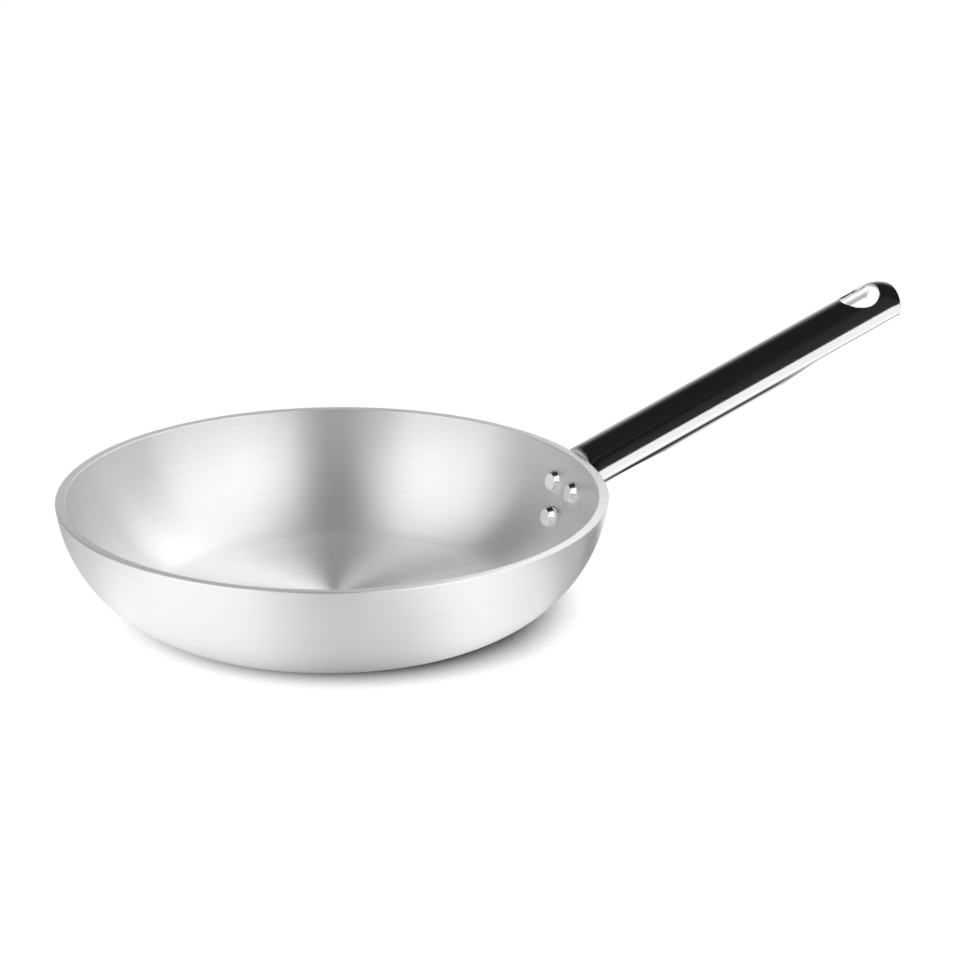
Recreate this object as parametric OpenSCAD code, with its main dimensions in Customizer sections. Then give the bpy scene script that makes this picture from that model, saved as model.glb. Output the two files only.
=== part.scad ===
// Omelette pan: a pressed aluminium body with a folded steel handle held by three rivets.
// Millimetres. The origin is the centre of the flat base, +Z is up and the handle runs along +X.

/* [Pan body] */
// Diameter over the outside of the rim
rim_d = 280; // [265:1:320]
// Height from the table to the top of the rim
pan_h = 60; // [54:1:72]
// Diameter of the flat that the pan stands on
base_d = 176; // [150:1:190]
// Thickness of the base and of the wall
wall = 5; // [3:0.5:6]
// Outside radius of the turn from the base into the wall
corner_r = 28; // [16:1:34]
// Slope of the outside of the wall at the rim, from the horizontal
rim_slope = 84; // [80:1:87]
// Small bevel on both edges of the flat rim
rim_bevel = 0.5; // [0.2:0.1:1]

/* [Handle] */
// Thickness of the folded sheet
sheet = 1.5; // [1:0.1:2]
// Width of the handle
handle_w = 36; // [30:1:42]
// Height of the rounded upper half of the section
crown_h = 13; // [10:0.5:16]
// Depth of the lower curve that the edges are curled along
belly_h = 11; // [7:0.5:13]
// Part of that depth which the curled edges reach at the deepest point
curl_h = 8.5; // [5:0.5:9]
// Part of that depth which they reach at the rim
lip_h = 2.3; // [1:0.1:4]
// Straight length of the crest, from the rim to the turned-down end
straight_len = 186.6; // [150:0.2:240]
// Rise of the handle from the horizontal
handle_rise = 20.9; // [12:0.1:30]
// Height of the crest above the rim where it leaves the pan
crest_lift = 2.6; // [0:0.1:5]
// Angle through which the end is turned down
end_turn = 37; // [20:1:50]
// Radius of that turn at the lower edges
end_edge_r = 3.5; // [2:0.5:8]
// Distance from the rim at which the curled edges end
curl_end = 143; // [110:1:145]

/* [Hang hole] */
// Length of the hole along the handle
hole_len = 20.6; // [14:0.2:26]
// Width of the hole across the handle
hole_w = 24.4; // [16:0.2:28]
// Distance by which the hole runs past the start of the turned-down end
hole_past = 1.6; // [-12:0.2:2]

/* [Rivets] */
// Height of the two upper rivets above the table, on the inside of the wall
upper_rivet_z = 43.4; // [39:0.2:47]
// Height of the lower rivet above the table, on the inside of the wall
lower_rivet_z = 28.2; // [24:0.2:32]
// Distance between the axes of the two upper rivets, along the wall
rivet_pitch = 20.6; // [16:0.2:24]
// Angle by which the axes of the rivets fall towards the outside of the wall
rivet_fall = 12; // [0:1:25]
// Diameter of the rivet shank
shank_d = 6; // [4:0.5:7]
// Diameter of a rivet head where it meets the wall
head_d = 12; // [9.6:0.2:13]
// Diameter of the flat top of a rivet head
head_top_d = 8.8; // [6:0.2:9.4]
// Height of a rivet head
head_h = 2.7; // [2.4:0.1:4]
// Distance from a rivet axis to the edge of the flange
flange_edge = 9.5; // [8:0.5:12]

/* [Hidden] */

// Running gap between the flange and the wall, and round each shank
fit = 0.05;
// Largest turn between two points of a curve, in degrees
step = 3;
// Length by which a cutting solid runs past what it cuts
past = 20;
$fn = 96;

rim_r = rim_d / 2;
base_r = base_d / 2;

// The outside of the wall is an arc of corner_r out of the base, then a wider arc that
// leaves it without a kink and meets the rim at rim_slope.
span = [rim_r - base_r, pan_h - corner_r];
rim_normal = [sin(rim_slope), -cos(rim_slope)];
wall_r = (span * span - corner_r * corner_r) / (2 * (span * rim_normal - corner_r));
meet_normal = (span - wall_r * rim_normal) / (corner_r - wall_r);
meet_slope = atan2(meet_normal[0], -meet_normal[1]);
wall_centre = [base_r, corner_r] + (corner_r - wall_r) * meet_normal;

// Slope of the wall where the surface lying off outside it reaches the height z
function slope_at(z, off) = acos((wall_centre[1] - z) / (wall_r + off));

// Points on an arc about centre, from one slope to another
function arc(centre, radius, from, to) =
    let (n = max(2, ceil(abs(to - from) / step)))
    [for (i = [0 : n]) let (a = from + (to - from) * i / n)
        centre + radius * [sin(a), -cos(a)]];

// The wall's two arcs, off outside the outer surface, up to the height z
function wall_points(off, z) = concat(
    arc([base_r, corner_r], corner_r + off, 0, meet_slope),
    arc(wall_centre, wall_r + off, meet_slope, slope_at(z, off)));

// Point of the last arc at the height of the rim
function rim_point(off) = let (a = slope_at(pan_h, off))
    wall_centre + (wall_r + off) * [sin(a), -cos(a)];

function reversed(list) = [for (i = [len(list) - 1 : -1 : 0]) list[i]];

// The crest of the handle starts over the rim and climbs at handle_rise
module at_handle() {
    translate([rim_r, 0, pan_h + crest_lift]) rotate([0, -handle_rise, 0]) children();
}

// The axis of a rivet: z points out through the wall, from its inner surface
module at_rivet(height, aside) {
    radius = wall_centre[0] + (wall_r - wall) * sin(slope_at(height, -wall));
    rotate([0, 0, asin(aside / radius)]) translate([radius, 0, height])
        rotate([0, 90 + rivet_fall, 0]) children();
}

// Distance along that axis through so much metal, which the axis crosses askew
function reach(height, metal) = metal / sin(slope_at(height, -wall) + rivet_fall);

// Height at which the axis leaves the wall on its outside
function outside_z(height) = height - reach(height, wall) * sin(rivet_fall);

// Everything inside the surface that lies off outside the wall, carried on upwards
module inside_of(off) {
    above = pan_h + crest_lift + past;
    rotate_extrude() polygon(concat(
        [[0, -off]], wall_points(off, pan_h), [[rim_point(off)[0], above], [0, above]]));
}

// Upper half of the handle's section, drawn off inside the outer surface
function crown(off) = [for (a = [-90 : step : 90])
    [(handle_w / 2 - off) * sin(a), (crown_h - off) * cos(a) - crown_h]];

// Lower curve of the section, without its ends: an arc through both bends and the lowest point
belly_r = (pow(handle_w / 2, 2) + pow(belly_h, 2)) / (2 * belly_h);
function belly(off) =
    let (turn = acos((belly_r - belly_h) / (belly_r - off)),
        points = arc([0, belly_r - belly_h - crown_h], belly_r - off, turn, -turn))
    [for (i = [1 : len(points) - 2]) points[i]];

// A section pulled along the handle, from one distance to another
module pulled(from, to) {
    translate([from, 0, 0]) rotate([90, 0, 90]) linear_extrude(to - from) children();
}

// Depth of the curled edges below the bends, at a distance along the crest: a lip that dies out
// and, on top of it, a bell whose crown lies a little past the middle
function curl_depth(x) =
    let (u = x / curl_end, lip = lip_h * (1 - u))
    lip + (curl_h - lip) * pow(sin(180 * pow(u, 1.2)), 2);

// Section of the folded sheet over the crest, from bend to bend
module crown_section() {
    polygon(concat(crown(0), reversed(crown(sheet))));
}

// Section of the curled edges, hanging from the bends
module belly_section() {
    bend = handle_w / 2;
    polygon(concat(
        [[bend, -crown_h]], belly(0), [[-bend, -crown_h], [sheet - bend, -crown_h]],
        reversed(belly(sheet)), [[bend - sheet, -crown_h]]));
}

// What the edges of the sheet leave of that section, as seen from the side
module above_edges() {
    xs = [for (i = [0 : 45]) curl_end * i / 45];
    rotate([90, 0, 0]) translate([0, 0, -handle_w]) linear_extrude(2 * handle_w)
        polygon(concat(
            [[curl_end, sheet - crown_h], [-handle_w, sheet - crown_h]],
            [[-handle_w, -crown_h - lip_h]],
            [for (x = xs) [x, -crown_h - curl_depth(x)]]));
}

// The straight part of the folded sheet, open along its underside
module straight_part() {
    pulled(-handle_w, straight_len) crown_section();
    intersection() {
        pulled(-handle_w, curl_end) belly_section();
        above_edges();
    }
}

// The end of the handle turns down about an axis just under its lower edges. The revolve starts
// on the face where the straight part ends, so that the two meet exactly.
module turned_end() {
    radius = crown_h + end_edge_r;
    translate([straight_len, 0, -radius]) rotate([-90, -90, 0])
        rotate_extrude(angle = end_turn) translate([radius, 0]) rotate([0, 0, -90])
            crown_section();
}

// Oval hole over the crest, cut square to it
module hang_hole() {
    centre_x = straight_len + hole_past - hole_len / 2;
    translate([centre_x, 0, -crown_h]) linear_extrude(crown_h + past)
        polygon([for (a = [0 : step : 360 - step]) [hole_len / 2 * cos(a), hole_w / 2 * sin(a)]]);
}

// Points round a rivet at the flange's border, from one direction to another
function border(spot, from, to) = [for (a = [from : step : to])
    spot + flange_edge * [cos(a), sin(a)]];

// Outline of the flange, seen along the handle: it tapers from the bends to the lower rivet
module flange_outline() {
    upper_z = outside_z(upper_rivet_z);
    lower_z = outside_z(lower_rivet_z);
    taper = atan2(rivet_pitch / 2, upper_z - lower_z);
    bend_z = pan_h + crest_lift - crown_h * cos(handle_rise);
    polygon(concat(
        border([0, lower_z], taper - 180, -taper),
        border([rivet_pitch / 2, upper_z], -taper, 0),
        [[handle_w / 2, bend_z], [-handle_w / 2, bend_z]],
        border([-rivet_pitch / 2, upper_z], 180, 180 + taper)));
}

// Sheet that lies on the outside of the wall
module wall_sheet() {
    difference() {
        inside_of(fit + sheet);
        inside_of(fit);
    }
}

module handle() {
    color([0.62, 0.63, 0.65]) difference() {
        union() {
            difference() {
                at_handle() {
                    straight_part();
                    turned_end();
                }
                inside_of(fit);
            }
            intersection() {
                wall_sheet();
                union() {
                    at_handle() pulled(-handle_w, handle_w) polygon(crown(0));
                    rotate([90, 0, 90]) linear_extrude(rim_r + past) flange_outline();
                }
            }
        }
        at_handle() hang_hole();
        rivet_holes();
    }
}

module rivet_holes() {
    for (side = [-1, 1]) at_rivet(upper_rivet_z, side * rivet_pitch / 2) rivet_hole();
    at_rivet(lower_rivet_z, 0) rivet_hole();
}

module rivet_hole() {
    translate([0, 0, -past / 2]) cylinder(d = shank_d + 2 * fit, h = wall + past);
}

module pan_body() {
    outside = rim_point(0);
    inside = rim_point(-wall);
    color([0.86, 0.87, 0.88]) difference() {
        rotate_extrude() polygon(concat(
            [[0, 0]],
            wall_points(0, pan_h - rim_bevel),
            [[outside[0] - rim_bevel, pan_h], [inside[0] + rim_bevel, pan_h]],
            reversed(wall_points(-wall, pan_h - rim_bevel)),
            [[0, wall]]));
        rivet_holes();
    }
}

// Flat-topped cone that stands on the height 0, with its foot carried on below
module rivet_head() {
    cylinder(d1 = head_d, d2 = head_top_d, h = head_h);
    translate([0, 0, -head_d / 2]) cylinder(d = head_d, h = head_d / 2);
}

// The feet of the heads follow the slope and the curve of what they are closed against
module rivet(height, aside) {
    seat = fit + sheet;
    through = reach(height, wall + seat);
    hidden = head_h - fit;
    color([0.9, 0.9, 0.9]) {
        at_rivet(height, aside) translate([0, 0, -hidden])
            cylinder(d = shank_d, h = through + 2 * hidden);
        intersection() {
            at_rivet(height, aside) rotate([180, 0, 0]) rivet_head();
            inside_of(-wall);
        }
        difference() {
            at_rivet(height, aside) translate([0, 0, through]) rivet_head();
            inside_of(seat);
        }
    }
}

module rivet_upper_left() {
    rivet(upper_rivet_z, rivet_pitch / 2);
}

module rivet_upper_right() {
    rivet(upper_rivet_z, -rivet_pitch / 2);
}

module rivet_lower() {
    rivet(lower_rivet_z, 0);
}

pan_body();
handle();
rivet_upper_left();
rivet_upper_right();
rivet_lower();
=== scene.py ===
import math

import bpy
import numpy as np
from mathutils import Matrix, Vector


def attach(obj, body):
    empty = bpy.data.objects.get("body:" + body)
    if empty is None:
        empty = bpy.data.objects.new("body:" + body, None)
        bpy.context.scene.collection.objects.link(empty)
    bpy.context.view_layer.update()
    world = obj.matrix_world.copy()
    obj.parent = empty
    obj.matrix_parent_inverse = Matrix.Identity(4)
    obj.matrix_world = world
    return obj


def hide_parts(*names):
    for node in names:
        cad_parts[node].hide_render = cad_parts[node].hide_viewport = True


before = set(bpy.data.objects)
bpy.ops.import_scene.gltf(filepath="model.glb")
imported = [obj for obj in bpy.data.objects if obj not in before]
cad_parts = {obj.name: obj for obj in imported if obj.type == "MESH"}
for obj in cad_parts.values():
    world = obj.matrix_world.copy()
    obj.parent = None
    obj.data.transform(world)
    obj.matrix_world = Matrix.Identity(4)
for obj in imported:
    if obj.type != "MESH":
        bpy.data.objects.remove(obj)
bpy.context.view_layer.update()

# Metres in a millimetre: shapes are worked out in millimetres, floor, lamps and camera in metres
MM = 0.001

# Pan, in millimetres and degrees, with the sizes of the part's source
RIM_R = 140.0
PAN_H = 60.0
BASE_R = 88.0
WALL = 5.0
CORNER_R = 28.0
RIM_SLOPE = 84.0
RIM_BEVEL = 0.5

# Section of the handle: a crown above the bends, and curled edges below them up to a distance from the rim
SHEET = 1.5
HANDLE_W = 36.0
CROWN_H = 13.0
BELLY_H = 11.0
CURL_H = 8.5
LIP_H = 2.3
CURL_END = 143.0
# Above 1, the curled edges are deepest past the middle of their length
CURL_SKEW = 1.2

# Length of the handle: its rise from the rim, its turned-down end and its hang hole
RISE = 20.9
CREST_LIFT = 2.6
STRAIGHT_LEN = 186.6
END_TURN = 37.0
END_EDGE_R = 3.5
HOLE_LEN = 20.6
HOLE_W = 24.4
# The hole runs this far past the straight part
HOLE_PAST = 1.6

# Rivets, the edge of the flange round them, and the gap between the flange and the wall
UPPER_Z = 43.4
LOWER_Z = 28.2
PITCH = 20.6
RIVET_FALL = 12.0
SHANK_R = 3.0
HEAD_R = 6.0
HEAD_TOP_R = 4.4
HEAD_H = 2.7
FLANGE_EDGE = 9.5
FIT = 0.05

# Wall of the pan: two arcs that meet without a kink
span = np.array([RIM_R - BASE_R, PAN_H - CORNER_R])
rim_normal = np.array([math.sin(math.radians(RIM_SLOPE)), -math.cos(math.radians(RIM_SLOPE))])
wall_r = (span @ span - CORNER_R ** 2) / (2 * (span @ rim_normal - CORNER_R))
meet_normal = (span - wall_r * rim_normal) / (CORNER_R - wall_r)
meet_slope = math.atan2(meet_normal[0], -meet_normal[1])
wall_centre = np.array([BASE_R, CORNER_R]) + (CORNER_R - wall_r) * meet_normal
rivet_fall = math.radians(RIVET_FALL)


def wall_radius(z, off):
    """Radius of the surface that lies off outside the wall, at the height z."""
    low = np.minimum(z, PAN_H)
    return wall_centre[0] + np.sqrt((wall_r + off) ** 2 - (low - wall_centre[1]) ** 2)


def slope_at(z, off):
    """Slope of that surface at the height z, 0 where it is level."""
    return math.acos((wall_centre[1] - z) / (wall_r + off))


def reach(z, metal):
    """Distance along a rivet's axis through so much metal, which the axis crosses askew."""
    return metal / math.sin(slope_at(z, -WALL) + rivet_fall)


def outside_z(z):
    """Height at which a rivet's axis leaves the wall, from its height inside."""
    return z - reach(z, WALL) * math.sin(rivet_fall)


# Meshes

def make_mesh(name, verts, faces, material, uvs=None):
    """An object from points in millimetres, smooth shaded, with its body, slot and material."""
    mesh = bpy.data.meshes.new(name)
    mesh.from_pydata([tuple(float(c) * MM for c in v) for v in verts], [], faces)
    if uvs is not None:
        layer = mesh.uv_layers.new(name="UVMap")
        layer.data.foreach_set("uv", np.asarray(uvs, float).ravel())
    mesh.polygons.foreach_set("use_smooth", [True] * len(mesh.polygons))
    mesh.update()
    ob = bpy.data.objects.new(name, mesh)
    bpy.context.scene.collection.objects.link(ob)
    ob.data.materials.append(material)
    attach(ob, "root")
    return ob


def distances(points):
    """Distance along a polyline to each of its points."""
    return np.concatenate([[0], np.cumsum(np.linalg.norm(np.diff(points, axis=0), axis=1))])


def resample(points, shares):
    """Points at given shares of a polyline's length."""
    s = distances(points)
    return np.stack([np.interp(shares * s[-1], s, points[:, k]) for k in range(2)], axis=-1)


def arc(centre, radius, start, end, count):
    """Points on an arc whose angles are slopes, 0 at the lowest point."""
    angles = np.linspace(start, end, count)
    return [np.array([centre[0] + radius * math.sin(t), centre[1] - radius * math.cos(t)]) for t in angles]


def rounded(points, radius, count=5, support=0.8):
    """A profile whose inner corners are arcs, with a support point at a share of the radius from each end."""
    out = [points[0]]
    for a, p, b in zip(points, points[1:], points[2:]):
        u, v = (a - p) / np.linalg.norm(a - p), (b - p) / np.linalg.norm(b - p)
        half = math.acos(float(u @ v)) / 2
        cut = radius / math.tan(half)
        centre = p + (u + v) / np.linalg.norm(u + v) * radius / math.sin(half)
        first, last = p + u * cut, p + v * cut
        out.append(first + u * radius * support)
        for i in range(count):
            w = first - centre + (last - first) * i / (count - 1)
            out.append(centre + w / np.linalg.norm(w) * radius)
        out.append(last + v * radius * support)
    return out + [points[-1]]


def revolve(profile, segments):
    """Points, faces and UVs (share of a turn, distance) of a profile with both ends on Z, turned about it."""
    length = distances(profile)
    angles = [2 * math.pi * i / segments for i in range(segments)]
    verts, faces, uvs = [(0, 0, profile[0][1])], [], []
    for r, z in profile[1:-1]:
        verts += [(r * math.cos(a), r * math.sin(a), z) for a in angles]
    last = len(verts)
    verts.append((0, 0, profile[-1][1]))
    rings = len(profile) - 2
    top = 1 + (rings - 1) * segments
    for i in range(segments):
        j = (i + 1) % segments
        u0, u1 = i / segments, (i + 1) / segments
        faces.append((0, 1 + j, 1 + i))
        uvs += [((u0 + u1) / 2, length[0]), (u1, length[1]), (u0, length[1])]
        for k in range(rings - 1):
            a, b = 1 + k * segments, 1 + (k + 1) * segments
            faces.append((a + i, a + j, b + j, b + i))
            uvs += [(u0, length[k + 1]), (u1, length[k + 1]), (u1, length[k + 2]), (u0, length[k + 2])]
        faces.append((top + i, top + j, last))
        uvs += [(u0, length[-2]), (u1, length[-2]), ((u0 + u1) / 2, length[-1])]
    return verts, faces, uvs


# Nodes of materials and of the world

class Nodes:
    """Adds nodes to a new material, or to the world's tree, and links them."""

    def __init__(self, name=None, tree=None):
        if tree is None:
            self.mat = bpy.data.materials.new(name)
            self.mat.use_nodes = True
            tree = self.mat.node_tree
            self.bsdf = tree.nodes["Principled BSDF"]
        self.tree = tree

    def add(self, kind, inputs=None, **settings):
        node = self.tree.nodes.new(kind)
        for key, value in settings.items():
            setattr(node, key, value)
        for key, value in (inputs or {}).items():
            self.put(node, key, value)
        return node

    def put(self, node, key, value):
        """Sets an input to a value, or links it to another node's output."""
        if isinstance(value, bpy.types.NodeSocket):
            self.tree.links.new(value, node.inputs[key])
        else:
            node.inputs[key].default_value = value

    def place(self):
        """Place on the object, in metres."""
        return self.add("ShaderNodeTexCoord").outputs["Object"]

    def split(self, vector):
        return self.add("ShaderNodeSeparateXYZ", {0: vector}).outputs

    def math(self, operation, a, b=0.0):
        return self.add("ShaderNodeMath", {0: a, 1: b}, operation=operation).outputs[0]

    def plus(self, a, b):
        return self.math("ADD", a, b)

    def times(self, a, b):
        return self.math("MULTIPLY", a, b)

    def distance(self, value, centre):
        return self.math("ABSOLUTE", self.math("SUBTRACT", value, centre))

    def noise(self, vector, scale, detail, rough):
        inputs = {"Vector": vector, "Scale": scale, "Detail": detail, "Roughness": rough}
        return self.add("ShaderNodeTexNoise", inputs).outputs["Fac"]

    def remap(self, value, low, high, to_low, to_high):
        inputs = {0: value, 1: low, 2: high, 3: to_low, 4: to_high}
        return self.add("ShaderNodeMapRange", inputs).outputs[0]

    def vary(self, noise, low, high):
        """A value from low to high by a noise, nearly all of which lies between 0.3 and 0.7."""
        return self.remap(noise, 0.3, 0.7, low, high)

    def mix(self, share, first, second):
        return self.add("ShaderNodeMix", {0: share, 2: first, 3: second}, data_type="FLOAT").outputs[0]

    def glow(self, strength):
        return self.add("ShaderNodeEmission", {"Color": (1, 1, 1, 1), "Strength": strength}).outputs[0]

    def matt(self, tone):
        return self.add("ShaderNodeBsdfDiffuse", {"Color": (tone, tone, tone, 1)}).outputs[0]

    def mix_shader(self, share, first, second):
        return self.add("ShaderNodeMixShader", {0: share, 1: first, 2: second}).outputs[0]

    def metal(self, tone, blue, metallic, rough):
        """Sets the colour, with its own tone for blue, and how metallic and rough it is."""
        colour = self.add("ShaderNodeCombineColor", {0: tone, 1: tone, 2: blue}).outputs[0]
        self.put(self.bsdf, "Base Color", colour)
        self.put(self.bsdf, "Metallic", metallic)
        self.put(self.bsdf, "Roughness", rough)

    def bump(self, height, strength, distance):
        inputs = {"Height": height, "Strength": strength, "Distance": distance}
        self.put(self.bsdf, "Normal", self.add("ShaderNodeBump", inputs).outputs[0])

    def ramp(self, value, low, high, stops):
        """A tone from a value between low and high, by stops (value, tone)."""
        node = self.add("ShaderNodeValToRGB", {0: self.remap(value, low, high, 0.0, 1.0)})
        node.color_ramp.interpolation = "EASE"
        elements = node.color_ramp.elements
        for _ in stops[2:]:
            elements.new(0.5)
        for element, (at, tone) in zip(elements, stops):
            element.position = (at - low) / (high - low)
            element.color = (tone, tone, tone, 1)
        return node.outputs[0]


# Pan body: turned from its outline

PAN_SEGMENTS = 288
OUTER_CORNER_POINTS = 26
WALL_POINTS = 22
INNER_CORNER_POINTS = 24
# Below the rim the arcs of the wall stop, to leave room for the support points of the bevels
ARC_TOP = PAN_H - 2.0
# Radii of the extra rings on the flat underside and floor, which keep their faces short
UNDERSIDE_RINGS = (30.0, 60.0, 80.0)
FLOOR_RINGS = (80.0, 60.0, 40.0, 20.0)
# The rim's own finish fades out over this width at each edge of the rim's top
RIM_FADE = 0.6


def pan_profile():
    """Outline of the pan's section, from the middle of the base round the rim to the middle of the floor."""
    outside = arc((BASE_R, CORNER_R), CORNER_R, 0, meet_slope, OUTER_CORNER_POINTS)
    outside += arc(wall_centre, wall_r, meet_slope, slope_at(ARC_TOP, 0), WALL_POINTS)[1:]
    inside = arc(wall_centre, wall_r - WALL, slope_at(ARC_TOP, -WALL), meet_slope, WALL_POINTS)
    inside += arc((BASE_R, CORNER_R), CORNER_R - WALL, meet_slope, 0, INNER_CORNER_POINTS)[1:]
    rim_out = np.array([wall_radius(PAN_H, 0), PAN_H])
    rim_in = np.array([wall_radius(PAN_H, -WALL), PAN_H])
    rim = rounded([outside[-1], rim_out, rim_in, inside[0]], RIM_BEVEL)[1:-1]
    underside = [np.array([r, 0.0]) for r in (0.0, *UNDERSIDE_RINGS)]
    floor = [np.array([r, WALL]) for r in (*FLOOR_RINGS, 0.0)]
    return np.array(underside + outside + rim + inside + floor)


def rim_distance():
    """Distance along the outline to the middle of the rim's flat top."""
    outline = pan_profile()
    on_top = outline[:, 1] > PAN_H - 1e-6
    return float(distances(outline)[on_top].mean())


def spun_aluminium():
    """Satin aluminium with fine concentric turning marks, from the distance along the outline."""
    n = Nodes("spun_aluminium")
    turn, along, _ = n.split(n.add("ShaderNodeUVMap", uv_map="UVMap").outputs[0])
    # The marks run right round, so the noise hardly changes with the angle
    ring = n.add("ShaderNodeCombineXYZ", {0: along, 1: n.times(turn, 0.6)}).outputs[0]
    fine = n.noise(ring, scale=2.6, detail=3.0, rough=0.7)
    coarse = n.noise(ring, scale=0.35, detail=2.0, rough=0.5)
    cloud = n.noise(n.place(), scale=9.0, detail=3.0, rough=0.55)
    # The turned top of the rim is duller and scatters more evenly
    rim = n.remap(n.distance(along, rim_distance()), WALL / 2 - RIM_FADE, WALL / 2, 1.0, 0.0)
    marks = n.plus(n.vary(fine, -0.012, 0.012), n.vary(coarse, -0.012, 0.012))
    tone = n.plus(marks, n.plus(n.vary(cloud, 0.79, 0.83), n.times(rim, -0.08)))
    rough = n.plus(n.vary(fine, 0.36, 0.42), n.vary(cloud, -0.02, 0.03))
    n.metal(tone, tone, 0.85, rough)
    # Reflections are stretched across the marks, and less so on the rim
    n.put(n.bsdf, "Anisotropic", n.remap(rim, 0.0, 1.0, 0.94, 0.517))
    n.put(n.bsdf, "Anisotropic Rotation", 0.25)
    n.put(n.bsdf, "Tangent", n.add("ShaderNodeTangent", direction_type="RADIAL", axis="Z").outputs[0])
    n.bump(fine, strength=0.12, distance=0.00005)
    return n.mat


def make_pan():
    verts, faces, uvs = revolve(pan_profile(), PAN_SEGMENTS)
    pan = make_mesh("pan_spun_body", verts, faces, spun_aluminium(), uvs)
    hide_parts("pan_body")
    return pan


# Handle: one folded sheet, as a grid of columns across it and rows along it, from the crest over the rim

rise = math.radians(RISE)
along_axis = np.array([math.cos(rise), 0.0, math.sin(rise)])
across_axis = np.array([0.0, 1.0, 0.0])
up_axis = np.array([-math.sin(rise), 0.0, math.cos(rise)])
crest_start = np.array([RIM_R, 0.0, PAN_H + CREST_LIFT])
belly_r = ((HANDLE_W / 2) ** 2 + BELLY_H ** 2) / (2 * BELLY_H)
end_r = CROWN_H + END_EDGE_R
crest_end = STRAIGHT_LEN + math.radians(END_TURN) * end_r

# Columns: degrees from the crest on the crown, closest at the bends, and shares of the way along the curls
CROWN_T = np.concatenate([np.linspace(-90, -84, 4), np.linspace(-81, 81, 55), np.linspace(84, 90, 4)])
CURL_SHARES = np.array([0.04, 0.1, 0.22, 0.4, 0.6, 0.8, 0.93, 1.0])
# Least depth of the curled edges, so that their columns stay apart where the curl has ended
LEAST_DEPTH = 0.12
# Size of the bend between the flange and the handle, which is rounder over the crest than at the sides
EDGE_BEND = 1.2
CREST_BEND = 4.0
BEND_ROWS = 7
# Rows of the flange, points of its border round each rivet, and the share that each side takes
FLANGE_ROWS = 26
FLANGE_POINTS = 40
FLANGE_SIDE = 0.24
# Rows along the crest: the gap after the bend, and where the root's and the middle's rows end
BEND_GAP = 0.6
ROOT_END = 20.0
MIDDLE_END = 150.0
ROW_STEP = 2.0
# Patch round the hang hole: its reach before and after the hole, its degrees from the crest, and
# its rings, at shares of the way from the hole out to the patch's border
PATCH_BEFORE = 5.0
PATCH_AFTER = 4.6
hole_x = STRAIGHT_LEN + HOLE_PAST - HOLE_LEN / 2
patch_start = hole_x - HOLE_LEN / 2 - PATCH_BEFORE
patch_end = hole_x + HOLE_LEN / 2 + PATCH_AFTER
PATCH_T = 63.0
PATCH_RINGS = (0.87, 0.74, 0.62, 0.50, 0.39, 0.29, 0.20, 0.12, 0.06, 0.02, 0.0)
# Free edges of the sheet: how far they bulge as a share of half the sheet, and their steps
EDGE_BULGE = 0.45
EDGE_STEPS = 6


def handle_point(x, y, z):
    """From the handle's own axes (along, across, up from the crest) to the part's, for arrays."""
    x, y, z = np.broadcast_arrays(x, y, z)
    return crest_start + x[..., None] * along_axis + y[..., None] * across_axis + z[..., None] * up_axis


def curl_depth(x):
    """Depth of the curled edges below the bends: a lip that dies out, and a bulge."""
    u = min(x / CURL_END, 1)
    lip = LIP_H * (1 - u)
    return max(lip + (CURL_H - lip) * math.sin(math.pi * u ** CURL_SKEW) ** 2, LEAST_DEPTH)


def on_crown(degrees):
    """Points (across, up) of the crown at angles from the crest."""
    t = np.radians(degrees)
    return np.stack([HANDLE_W / 2 * np.sin(t), CROWN_H * np.cos(t) - CROWN_H], axis=-1)


def section(x):
    """Outer points (across, up) of the section at a distance x along the crest, for every column."""
    middle = belly_r - BELLY_H
    first, last = math.acos(middle / belly_r), math.acos((middle + curl_depth(x)) / belly_r)
    a = first + (last - first) * CURL_SHARES
    right = np.stack([belly_r * np.sin(a), middle - CROWN_H - belly_r * np.cos(a)], axis=-1)
    left = right[::-1] * [-1, 1]
    return np.concatenate([left, on_crown(CROWN_T), right])


def on_sheet(u, points):
    """Points of a section, at u along the crest: straight, then turned down about the end's axis."""
    y, z = points[..., 0], points[..., 1]
    turn = max(u - STRAIGHT_LEN, 0) / end_r
    x = min(u, STRAIGHT_LEN) + (end_r + z) * math.sin(turn)
    return handle_point(x, y, (end_r + z) * math.cos(turn) - end_r)


def reach_wall(y, z, search=60.0, halvings=50):
    """How far along the handle's axis lines at (y, z) meet the outside of the wall, by halving a range."""
    low, high = np.full(len(y), -search), np.full(len(y), search)
    for _ in range(halvings):
        middle = (low + high) / 2
        p = handle_point(middle, y, z)
        out = np.hypot(p[:, 0], p[:, 1]) > wall_radius(p[:, 2], FIT)
        high, low = np.where(out, middle, high), np.where(out, low, middle)
    return (low + high) / 2


def flange_outline():
    """Border of the flange from its left bend round the lower rivet to the right bend, as (y, z)."""
    upper, lower = outside_z(UPPER_Z), outside_z(LOWER_Z)
    taper = math.degrees(math.atan2(PITCH / 2, upper - lower))

    def round_rivet(y, z, first, last):
        angles = np.radians(np.linspace(first, last, FLANGE_POINTS))
        return np.stack([y + FLANGE_EDGE * np.cos(angles), z + FLANGE_EDGE * np.sin(angles)], axis=-1)

    return np.concatenate([round_rivet(-PITCH / 2, upper, 180, 180 + taper),
                           round_rivet(0, lower, 180 + taper, 360 - taper),
                           round_rivet(PITCH / 2, upper, -taper, 0)])


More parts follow.
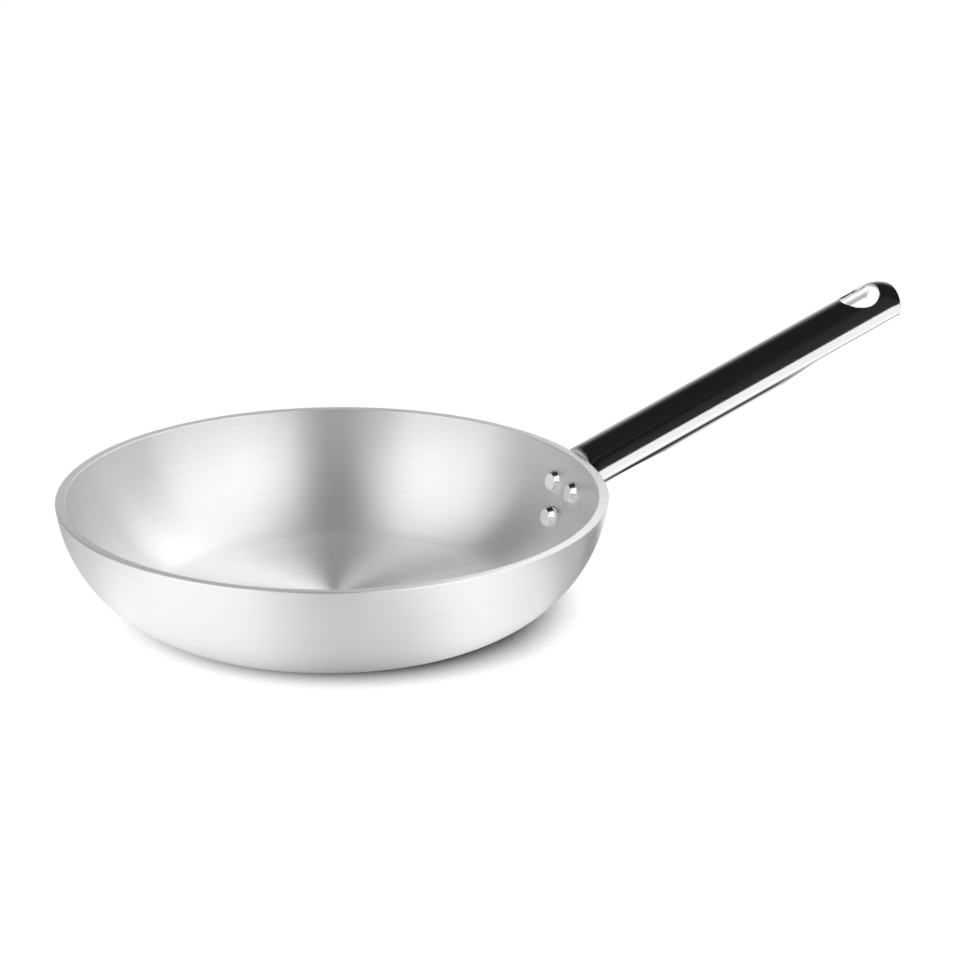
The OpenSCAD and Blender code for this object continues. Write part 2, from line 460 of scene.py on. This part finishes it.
def flange_rows(top):
    """Rows from the lower border of the flange up to the bend's first row: a patch between four borders."""
    border = np.concatenate([[top[0, 1:]], flange_outline(), [top[-1, 1:]]])
    low = resample(border, np.linspace(FLANGE_SIDE, 1 - FLANGE_SIDE, len(top)))
    left = resample(border, np.linspace(0, FLANGE_SIDE, FLANGE_ROWS))
    right = resample(border, 1 - np.linspace(0, FLANGE_SIDE, FLANGE_ROWS))
    high = top[:, 1:]
    u = np.linspace(0, 1, len(top))[:, None]
    rows = []
    for i in range(FLANGE_ROWS - 1, 0, -1):
        v = i / (FLANGE_ROWS - 1)
        p = ((1 - v) * high + v * low + (1 - u) * left[i] + u * right[i]
             - (1 - v) * ((1 - u) * high[0] + u * high[-1]) - v * ((1 - u) * low[0] + u * low[-1]))
        r = wall_radius(p[:, 1], FIT)
        rows.append(np.stack([np.sqrt(r ** 2 - p[:, 0] ** 2), p[:, 0], p[:, 1]], axis=-1))
    return rows


def root_rows():
    """Rows of the flange and of the bend that leads to the handle, and where along the crest it ends."""
    sec = section(0.0)
    d = np.gradient(sec, axis=0)
    inward = np.stack([d[:, 1], -d[:, 0]], axis=-1) / np.linalg.norm(d, axis=1)[:, None]
    on_curl = np.zeros(len(CURL_SHARES))
    crest_share = np.concatenate([on_curl, np.cos(np.radians(CROWN_T)) ** 2, on_curl])
    bend = EDGE_BEND + (CREST_BEND - EDGE_BEND) * crest_share
    inset = sec + inward * bend[:, None]
    corner_x = reach_wall(sec[:, 0], sec[:, 1])
    top = handle_point(reach_wall(inset[:, 0], inset[:, 1]), inset[:, 0], inset[:, 1])
    corner = handle_point(corner_x, sec[:, 0], sec[:, 1])
    out = handle_point(corner_x + bend, sec[:, 0], sec[:, 1])
    rows = flange_rows(top)
    for w in np.linspace(0, 1, BEND_ROWS):
        rows.append((1 - w) ** 2 * top + 2 * w * (1 - w) * corner + w ** 2 * out)
    return rows, (corner_x + bend).max()


def stations(bend_end):
    """Distances of the rows along the crest, closest together at the hang hole."""
    stretches = (
        (bend_end + BEND_GAP, ROOT_END, 9),
        (ROOT_END + ROW_STEP, MIDDLE_END, 65),
        (MIDDLE_END + ROW_STEP, patch_start, 6),
        (patch_start, patch_end, 41),
        (patch_end, crest_end, 9),
    )
    return np.unique(np.concatenate([np.linspace(*stretch) for stretch in stretches]))


def hole_rings(border_u, border_t):
    """Rings in to the oval hang hole from the patch's border, which is given as distances and degrees."""
    theta = np.arctan2(border_t / PATCH_T, (border_u - hole_x) / (patch_end - hole_x))
    hole_u = hole_x + HOLE_LEN / 2 * np.cos(theta)
    hole_t = np.degrees(np.arcsin(HOLE_W * np.sin(theta) / HANDLE_W))
    rings = []
    for share in PATCH_RINGS:
        ring_u = hole_u + (border_u - hole_u) * share
        ring_t = hole_t + (border_t - hole_t) * share
        rings.append(np.stack([on_sheet(u, on_crown(t)) for u, t in zip(ring_u, ring_t)]))
    return rings


def first_and_last(inside):
    return np.flatnonzero(inside)[[0, -1]]


def handle_skin():
    """Outer skin of the handle: points and quads, with a patch of rings round the hang hole."""
    rows, bend_end = root_rows()
    at = stations(bend_end)
    # Rows of the root have no distance along the crest, and columns of the curls no degrees from it
    row_u = np.concatenate([np.full(len(rows), np.nan), at])
    on_curl = np.full(len(CURL_SHARES), np.nan)
    col_t = np.concatenate([on_curl, CROWN_T, on_curl])
    rows += [on_sheet(u, section(u)) for u in at]
    r0, r1 = first_and_last((row_u >= patch_start) & (row_u <= patch_end))
    c0, c1 = first_and_last(np.abs(col_t) <= PATCH_T + 1e-6)
    cols = len(col_t)
    quads = []
    for i in range(len(rows) - 1):
        for j in range(cols - 1):
            if not (r0 <= i < r1 and c0 <= j < c1):
                a = i * cols + j
                quads.append((a, a + cols, a + cols + 1, a + 1))
    border = ([(r0, j) for j in range(c0, c1)] + [(i, c1) for i in range(r0, r1)]
              + [(r1, j) for j in range(c1, c0, -1)] + [(i, c0) for i in range(r1, r0, -1)])
    rings = hole_rings(np.array([row_u[i] for i, _ in border]), np.array([col_t[j] for _, j in border]))
    outer, count = [i * cols + j for i, j in border], len(rows) * cols
    for _ in rings:
        inner = list(range(count, count + len(border)))
        count += len(border)
        for k in range(len(border)):
            m = (k + 1) % len(border)
            quads.append((outer[k], inner[k], inner[m], outer[m]))
        outer = inner
    # Points of the grid inside the patch are in no face, so they are left out
    quads = np.array(quads)
    used, place = np.unique(quads, return_inverse=True)
    return np.concatenate(rows + rings)[used], place.reshape(quads.shape)


def vertex_normals(verts, quads):
    a, b, c, d = (verts[quads[:, k]] for k in range(4))
    normal = np.zeros_like(verts)
    for k in range(4):
        np.add.at(normal, quads[:, k], np.cross(c - a, d - b))
    return normal / np.linalg.norm(normal, axis=1)[:, None]


def free_edges(quads):
    """Edges that belong to one face only, in the direction in which that face runs."""
    edges = np.concatenate([quads[:, [k, (k + 1) % 4]] for k in range(4)])
    known = {(p, q) for p, q in edges.tolist()}
    return sorted((p, q) for p, q in known if (q, p) not in known)


def away_from_sheet(verts, normal, edges):
    """Unit direction out of the sheet at each point of its free edges, and nothing elsewhere."""
    away = np.zeros_like(verts)
    for p, q in edges:
        e = verts[q] - verts[p]
        w = np.cross(e / np.linalg.norm(e), normal[p] + normal[q])
        away[p] += w
        away[q] += w
    size = np.linalg.norm(away, axis=1)
    away[size > 0] /= size[size > 0][:, None]
    return away


def thicken(verts, quads, sheet):
    """A closed sheet with rounded edges from its outer skin. The inner skin lies sheet below it."""
    normal, edges = vertex_normals(verts, quads), free_edges(quads)
    away = away_from_sheet(verts, normal, edges)
    edge_points = sorted({p for edge in edges for p in edge})
    bulge = sheet / 2 * EDGE_BULGE
    outer = verts.copy()
    outer[edge_points] -= away[edge_points] * bulge
    inner = outer - normal * sheet
    middle = (outer[edge_points] + inner[edge_points]) / 2
    points = [outer, inner]
    chains = {p: [p] for p in edge_points}
    count = 2 * len(verts)
    for s in range(1, EDGE_STEPS):
        t = math.pi * s / EDGE_STEPS
        across = normal[edge_points] * sheet / 2 * math.cos(t)
        points.append(middle + across + away[edge_points] * bulge * math.sin(t))
        for p in edge_points:
            chains[p].append(count)
            count += 1
    for p in edge_points:
        chains[p].append(p + len(verts))
    faces = quads.tolist() + (quads[:, ::-1] + len(verts)).tolist()
    for p, q in edges:
        for k in range(EDGE_STEPS):
            faces.append((chains[q][k], chains[p][k], chains[p][k + 1], chains[q][k + 1]))
    return np.concatenate(points), faces


def polished_steel():
    """Mirror-polished sheet steel with faint lengthwise wiping marks."""
    n = Nodes("polished_steel")
    place = n.place()
    stretch = {"Vector": place, "Rotation": (0, rise, 0), "Scale": (14.0, 900.0, 900.0)}
    marks = n.noise(n.add("ShaderNodeMapping", stretch).outputs[0], scale=1.0, detail=3.0, rough=0.6)
    cloud = n.noise(place, scale=28.0, detail=3.0, rough=0.55)
    tone = n.plus(n.vary(marks, -0.01, 0.01), n.vary(cloud, 0.75, 0.79))
    rough = n.plus(n.vary(marks, 0.10, 0.13), n.vary(cloud, -0.015, 0.03))
    n.metal(tone, n.times(tone, 0.99), 1.0, rough)
    n.bump(marks, strength=0.05, distance=0.00002)
    return n.mat


def make_handle():
    verts, faces = thicken(*handle_skin(), SHEET)
    handle = make_mesh("handle_folded_sheet", verts, faces, polished_steel())
    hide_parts("handle")


# Rivets: turned, with a foot of each head carried on into the metal, because the wall slopes under it

RIVET_SEGMENTS = 64
HEAD_FOOT = 3.0
HEAD_EDGE_R = 0.45
RIVETS = (("rivet_upper_left", UPPER_Z, PITCH / 2), ("rivet_upper_right", UPPER_Z, -PITCH / 2),
          ("rivet_lower", LOWER_Z, 0.0))


def rivet_head(base, out):
    """Outline from the middle of a head, a flat-topped cone that stands on base, to the shank."""
    top, foot = base + out * HEAD_H, base - out * HEAD_FOOT
    corners = ((0.0, top), (HEAD_TOP_R, top), (HEAD_R, base), (HEAD_R, foot), (SHANK_R, foot))
    points = [np.array(corner) for corner in corners]
    return rounded(points[:4], HEAD_EDGE_R)[:-1] + points[3:]


def rivet_place(height, aside):
    """Rotation and place of a rivet: its z points out through the wall, from the wall's inner surface."""
    radius = wall_radius(height, -WALL)
    turn = math.asin(aside / radius)
    radial = np.array([math.cos(turn), math.sin(turn), 0.0])
    across = np.array([-math.sin(turn), math.cos(turn), 0.0])
    out = radial * math.cos(rivet_fall) - np.array([0, 0, math.sin(rivet_fall)])
    rotation = np.stack([across, np.cross(out, across), out], axis=1)
    return rotation, radial * radius + np.array([0, 0, height])


def rivet_aluminium():
    """Pressed rivet metal, smoother than the pan and slightly mottled."""
    n = Nodes("rivet_aluminium")
    mottle = n.noise(n.place(), scale=700.0, detail=3.0, rough=0.6)
    tone = n.vary(mottle, 0.84, 0.89)
    n.metal(tone, tone, 1.0, n.vary(mottle, 0.20, 0.28))
    n.bump(mottle, strength=0.1, distance=0.00005)
    return n.mat


def make_rivets():
    metal, rivets = rivet_aluminium(), []
    for name, height, aside in RIVETS:
        through = reach(height, WALL + FIT + SHEET)
        verts, faces, uvs = revolve(rivet_head(0.0, -1) + rivet_head(through, 1)[::-1], RIVET_SEGMENTS)
        rotation, place = rivet_place(height, aside)
        verts = np.array(verts) @ rotation.T + place
        piece = make_mesh(name + "_metal", verts, faces, metal, uvs)
        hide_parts(name)
        rivets.append(piece)
    return rivets


# Studio, in metres

# Degrees round the part are counted from the side the camera looks from, this far round from +X
FRONT = 244.5
CAMERA_PLACE = (-0.7558, -1.7549, 0.7403)
CAMERA_LOOK = (0.4067, 0.8510, -0.3324)
# Lens and sensor, in millimetres
LENS = 150.0
SENSOR = 36.0

# Painted light on the table, as metal mirrors it: a glow that is brighter in some sectors, where lit cards
# would stand; and tones of the sky, by degrees round the part
TABLE_GLOW = [(-180, 0.7), (-115, 0.65), (-92, 0.95), (-64, 1.5), (-28, 1.4), (6, 0.9), (16, 0.9), (45, 1.42),
         (66, 1.3), (88, 0.62), (106, 0.62), (116, 1.3), (180, 0.8)]
SKY = [(-180, 0.5), (-120, 0.6), (-84, 0.6), (-74, 1.7), (-32, 1.7), (-22, 0.48), (14, 0.48), (22, 1.6),
       (84, 1.6), (92, 0.6), (130, 0.6), (180, 0.5)]
# Shares of the sky's tone by the sine of the elevation, in the half beside the camera and in the half behind
FRONT_HEIGHT = [(-1, 0.72), (0.0, 0.72), (0.55, 0.72), (0.61, 0.02), (1.0, 0.02)]
BACK_HEIGHT = [(-1, 1.0), (0.0, 1.0), (0.10, 0.9), (0.42, 0.12), (0.55, 0.03), (1.0, 0.03)]

FLOOR_HALF = 6.0
# Contact shadow: how far the pan shades the floor, and the openness at which it is darkest and white
SHADE_REACH = 0.05
DARK_AT = 0.06
WHITE_AT = 0.37
# The light comes from the left, so the shadow is wider on the right: openness added at two places along X
LEAN_FROM = -0.12
LEAN_TO = 0.06
LEAN_MORE = 0.15
LEAN_LESS = -0.06
# What metal mirrors under the handle: a painted shadow of the handle, a dark strip with soft sides, which
# fades in and out along X
HANDLE_SHADOW_Y = -0.03
HANDLE_SHADOW_SIDE = (0.02, 0.05)
HANDLE_SHADOW_START = (0.13, 0.20)
HANDLE_SHADOW_END = (0.32, 0.37)
HANDLE_SHADOW_DARK = 0.95


def angle_from_front(n, vector):
    """Angle of a vector round the part in degrees, 0 towards the camera."""
    turned = n.add("ShaderNodeVectorRotate", {"Vector": vector, "Angle": -math.radians(FRONT)},
                   rotation_type="Z_AXIS").outputs[0]
    x, y, _ = n.split(turned)
    return n.times(n.math("ARCTAN2", y, x), 180 / math.pi)


def floor_material():
    """White to the camera but for the shadow under the pan. To metal, a pale table that glows with painted
    light, brighter in some sectors, with a painted shadow of the handle and shade near the pan.
    """
    n = Nodes("floor")
    n.tree.nodes.remove(n.bsdf)
    path = n.add("ShaderNodeLightPath").outputs
    place = n.place()
    x, y, _ = n.split(place)
    near = n.add("ShaderNodeAmbientOcclusion", {"Distance": SHADE_REACH}, samples=16).outputs["AO"]
    lean = n.remap(x, LEAN_FROM, LEAN_TO, LEAN_MORE, LEAN_LESS)
    openness = n.remap(n.plus(near, lean), DARK_AT, WHITE_AT, 0.0, 0.97)
    seen = n.add("ShaderNodeAddShader", {0: n.matt(0.15), 1: n.glow(openness)}).outputs[0]
    # Painted light: to metal the table glows, brighter in some sectors than in others
    table_glow = n.ramp(angle_from_front(n, place), -180, 180, TABLE_GLOW)
    # Painted shadow of the handle on the table, which only metal mirrors: a dark strip across Y, faded in and
    # out along X
    handle_shadow = n.remap(n.distance(y, HANDLE_SHADOW_Y), *HANDLE_SHADOW_SIDE, 1.0, 0.0)
    along = n.times(n.remap(x, *HANDLE_SHADOW_START, 0.0, 1.0), n.remap(x, *HANDLE_SHADOW_END, 1.0, 0.0))
    shade = n.remap(n.times(handle_shadow, along), 0.0, 1.0, 1.0, 1.0 - HANDLE_SHADOW_DARK)
    shade = n.times(shade, n.remap(near, 0.0, 0.5, 0.15, 1.0))
    hidden = n.mix_shader(path["Is Glossy Ray"], n.matt(0.85), n.glow(n.times(shade, table_glow)))
    surface = n.mix_shader(path["Is Camera Ray"], hidden, seen)
    n.put(n.tree.nodes["Material Output"], "Surface", surface)
    return n.mat


def make_floor():
    corners = [(x * FLOOR_HALF, y * FLOOR_HALF, 0) for x, y in ((-1, -1), (1, -1), (1, 1), (-1, 1))]
    mesh = bpy.data.meshes.new("floor")
    mesh.from_pydata(corners, [], [(0, 1, 2, 3)])
    ob = bpy.data.objects.new("floor", mesh)
    bpy.context.scene.collection.objects.link(ob)
    mesh.materials.append(floor_material())


def make_world():
    """White to the camera. To the part, two tall soft boxes beside the camera, dark overhead and behind."""
    world = bpy.data.worlds.new("studio")
    bpy.context.scene.world = world
    world.use_nodes = True
    n = Nodes(tree=world.node_tree)
    direction = n.add("ShaderNodeTexCoord").outputs["Generated"]
    angle = angle_from_front(n, direction)
    height = n.split(direction)[2]
    front_half = n.remap(n.math("ABSOLUTE", angle), 95, 125, 1.0, 0.0)
    share = n.mix(front_half, n.ramp(height, -1, 1, BACK_HEIGHT), n.ramp(height, -1, 1, FRONT_HEIGHT))
    light = n.times(n.ramp(angle, -180, 180, SKY), share)
    seen = n.add("ShaderNodeLightPath").outputs["Is Camera Ray"]
    background = n.tree.nodes["Background"]
    n.put(background, "Color", (1, 1, 1, 1))
    n.put(background, "Strength", n.mix(seen, light, 1.0))


def area_light(name, place, size, radiance, only=None, tilt=0.0, glossy=True):
    """A rectangular lamp that looks down. Its place is right of, behind and above the part for the camera."""
    data = bpy.data.lights.new(name, "AREA")
    data.shape = "RECTANGLE"
    data.size, data.size_y = size
    data.energy = radiance * math.pi * size[0] * size[1]
    ob = bpy.data.objects.new(name, data)
    turn = math.radians(FRONT + 90)
    right, behind, up = place
    x = right * math.cos(turn) - behind * math.sin(turn)
    y = right * math.sin(turn) + behind * math.cos(turn)
    ob.location = (x, y, up)
    ob.rotation_euler = (math.radians(tilt), 0, turn)
    ob.visible_glossy = glossy
    bpy.context.scene.collection.objects.link(ob)
    if only:
        ob.light_linking.receiver_collection = only


def group(name, objects):
    """A collection of objects, which a lamp then lights alone."""
    collection = bpy.data.collections.new(name)
    for ob in objects:
        collection.objects.link(ob)
    return collection


def make_lamps(pan, rivets):
    """One lamp lights all. The others light the pan or the rivets, so the handle mirrors a dark ceiling."""
    satin, heads = group("satin_metal", [pan]), group("rivet_heads", rivets)
    area_light("overhead", (-0.35, 0.1, 1.6), (1.2, 1.2), 1.5, glossy=False)
    area_light("ceiling_right", (0.77, 0.0, 0.95), (1.1, 2.6), 1.5, satin)
    area_light("ceiling_left", (-0.77, -0.4, 0.95), (1.1, 1.8), 1.35, satin)
    area_light("behind_right", (0.42, 1.25, 0.95), (0.7, 0.8), 1.1, satin, tilt=-53)
    area_light("behind", (0.0, 1.3, 0.6), (1.2, 0.5), 0.5, satin, tilt=-65)
    area_light("front", (-0.1, -0.85, 1.15), (0.7, 1.4), 1.6, heads, tilt=37)


def make_camera():
    """The photograph's view, as fitted to the rim, the rivets and the handle."""
    data = bpy.data.cameras.new("camera")
    data.lens, data.sensor_width = LENS, SENSOR
    ob = bpy.data.objects.new("camera", data)
    ob.location = CAMERA_PLACE
    ob.rotation_euler = Vector(CAMERA_LOOK).to_track_quat("-Z", "Y").to_euler()
    bpy.context.scene.collection.objects.link(ob)
    bpy.context.scene.camera = ob


pan = make_pan()
make_handle()
rivets = make_rivets()
make_floor()
make_world()
make_lamps(pan, rivets)
make_camera()
bpy.context.scene.view_settings.view_transform = "Standard"
